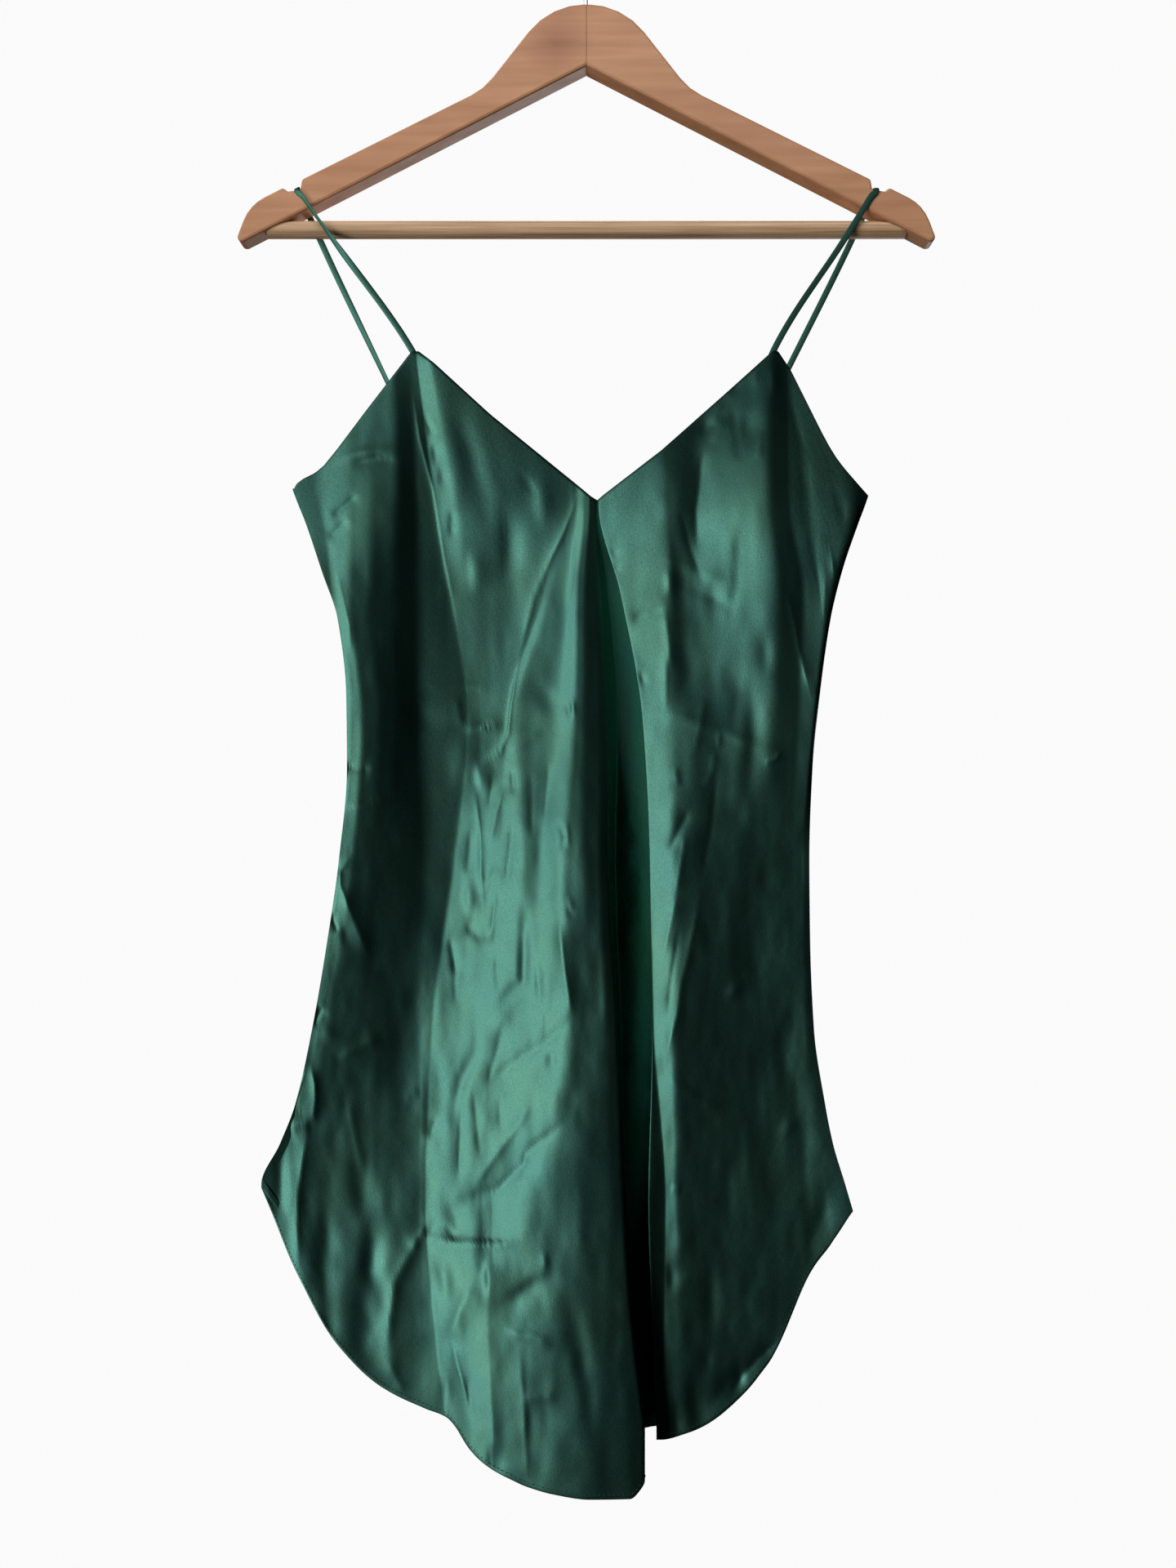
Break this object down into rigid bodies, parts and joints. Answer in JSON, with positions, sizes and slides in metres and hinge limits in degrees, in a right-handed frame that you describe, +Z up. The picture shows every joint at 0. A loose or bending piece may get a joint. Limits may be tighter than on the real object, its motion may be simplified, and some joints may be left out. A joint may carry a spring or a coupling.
{
  "type": "slip dress on a wooden hanger",
  "caption": "Satin slip dress with a V neckline, thin straps and a curved shirt-tail hem, hung by its straps from a wooden hanger with a round bar.",
  "frame": {"origin": "inner top of the hook, where a rail carries the hanger", "axes": "+Z up, +X to the right of someone who looks at the front, +Y from the front to the back"},
  "size_m": [0.444, 0.0962, 1.0064],
  "materials": {
    "satin": "glossy emerald green satin with soft creases",
    "arm_wood": "light brown wood with a matt clear lacquer",
    "bar_wood": "pale bare dowel with visible grain",
    "hook_steel": "plain bent steel wire"
  },
  "bodies": {
    "root": {"dress_front": "satin", "dress_back": "satin", "strap_left": "satin", "strap_right": "satin", "hanger_arm_left": "arm_wood", "hanger_arm_right": "arm_wood", "hanger_bar": "bar_wood", "hanger_hook": "hook_steel"}
  },
  "joints": []
}
